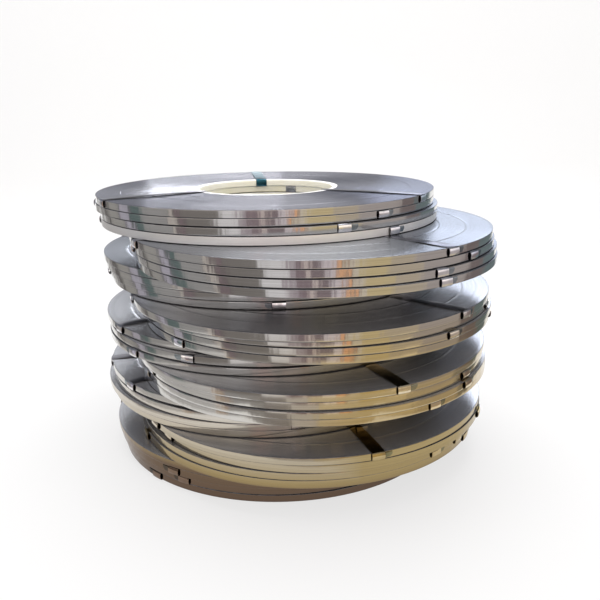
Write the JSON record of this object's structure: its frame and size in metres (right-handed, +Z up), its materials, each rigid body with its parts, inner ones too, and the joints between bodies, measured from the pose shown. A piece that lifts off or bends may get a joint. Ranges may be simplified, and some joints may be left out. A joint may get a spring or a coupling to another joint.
{
  "type": "stack of stainless steel strip coils",
  "caption": "Staggered stack of narrow slit coils of bright steel strip, lying flat, each on a plain core ring and bound by thin radial straps.",
  "frame": {"origin": "under the middle of the stack's extent, on the floor plane", "axes": "+Z up along the coils' axes, -Y towards the viewer of the picture, +X to the right"},
  "size_m": [1.0727, 1.1304, 0.6998],
  "materials": {
    "strip": "bright rolled stainless strip, wound, satin slit edges",
    "core": "cream plastic, satin",
    "strap": "thin bright steel strapping"
  },
  "bodies": {
    "root": {"coil_a1": "strip", "coil_a2": "strip", "coil_a3": "strip", "coil_a4": "strip", "coil_b1": "strip", "coil_b2": "strip", "coil_b3": "strip", "coil_b4": "strip", "coil_c1": "strip", "coil_c2": "strip", "coil_c3": "strip", "coil_c4": "strip", "coil_d1": "strip", "coil_d2": "strip", "coil_d3": "strip", "coil_d4": "strip", "coil_e1": "strip", "coil_e2": "strip", "coil_e3": "strip", "coil_f1": "strip", "coil_f2": "strip", "coil_f3": "strip", "coil_f4": "strip", "coil_g1": "strip", "coil_g2": "strip", "coil_g3": "strip", "coil_g4": "strip", "coil_h1": "strip", "coil_h2": "strip", "coil_h3": "strip", "coil_h4": "strip", "coil_i1": "strip", "coil_i2": "strip", "coil_i3": "strip", "coil_i4": "strip", "core_rings_a": "core", "core_rings_b": "core", "core_rings_c": "core", "core_rings_d": "core", "core_rings_e": "core", "core_rings_f": "core", "core_rings_g": "core", "core_rings_h": "core", "core_rings_i": "core", "straps_a": "strap", "straps_b": "strap", "straps_c": "strap", "straps_d": "strap", "straps_e": "strap", "straps_f": "strap", "straps_g": "strap", "straps_h": "strap", "straps_i": "strap"}
  },
  "joints": []
}
